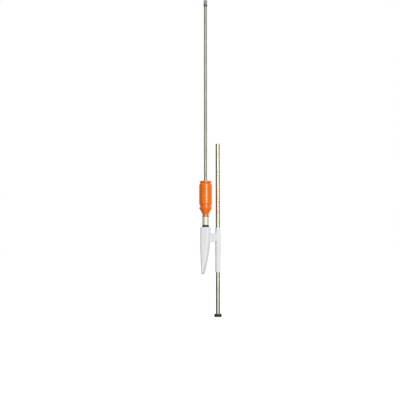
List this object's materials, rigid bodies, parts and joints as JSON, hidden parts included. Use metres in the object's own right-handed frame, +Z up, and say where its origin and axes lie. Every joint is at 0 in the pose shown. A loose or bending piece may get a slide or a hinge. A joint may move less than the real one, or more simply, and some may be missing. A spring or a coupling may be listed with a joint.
{
  "type": "manual log splitter",
  "caption": "Slide-hammer log splitter: a wedge on a swivelling sleeve runs on a guide rod set in a chopping block.",
  "frame": {"origin": "on the guide rod's axis at the surface of the chopping block, on the underside of the foot washer", "axes": "+Z up along the guide rod; the cutting edge runs along Y, the steep face of the wedge faces -X and the guide rod stands behind the wedge and to its +X side"},
  "size_m": [0.0955, 0.1165, 1.6108],
  "materials": {
    "polished_steel": "drawn bar, polished by the bushes",
    "ground_steel": "drawn bar, warm grey",
    "light_grey_paint": "satin light grey coating on cast and welded steel",
    "zinc_plate": "bright zinc plate",
    "yellow_zinc": "zinc, passivated yellow",
    "machined_steel": "as turned",
    "blackened_steel": "black oxide",
    "black_rubber": "matt",
    "white_nylon": "matt",
    "orange_plastic": "glossy moulded orange",
    "grey_cap": "satin grey"
  },
  "bodies": {
    "guide_post": {"guide_rod": "polished_steel", "foot_washer": "blackened_steel", "foot_bumper": "black_rubber"},
    "sleeve_bushes": {"sleeve_bush_lower": "white_nylon", "sleeve_bush_upper": "white_nylon"},
    "splitting_head": {"guide_sleeve": "light_grey_paint", "swing_arm": "light_grey_paint", "splitting_wedge": "light_grey_paint", "striking_rod": "ground_steel", "rod_cross_pin": "blackened_steel", "strike_ring": "blackened_steel", "end_buffer": "black_rubber", "end_cap": "grey_cap"},
    "hammer_bushes": {"hammer_bush_lower": "white_nylon", "hammer_bush_upper": "white_nylon"},
    "slide_hammer": {"hammer_nose": "zinc_plate", "nose_washer": "yellow_zinc", "hammer_core": "machined_steel", "lower_guard": "orange_plastic", "grip_barrel": "orange_plastic", "top_guard": "orange_plastic", "top_circlip": "blackened_steel", "rod_wiper": "black_rubber"}
  },
  "joints": [
    {"name": "head_slide", "type": "slide", "parent": "guide_post", "child": "sleeve_bushes", "axis": [0, 0, 1], "range_m": [-0.193, 0.39]},
    {"name": "head_swivel", "type": "hinge", "parent": "sleeve_bushes", "child": "splitting_head", "pos_m": [0, 0, 0], "axis": [0, 0, 1], "continuous": true},
    {"name": "hammer_slide", "type": "slide", "parent": "splitting_head", "child": "hammer_bushes", "axis": [0, 0, 1], "range_m": [0, 0.83]},
    {"name": "hammer_spin", "type": "hinge", "parent": "hammer_bushes", "child": "slide_hammer", "pos_m": [-0.0484, -0.06, 0.4241], "axis": [0, 0, 1], "continuous": true}
  ]
}
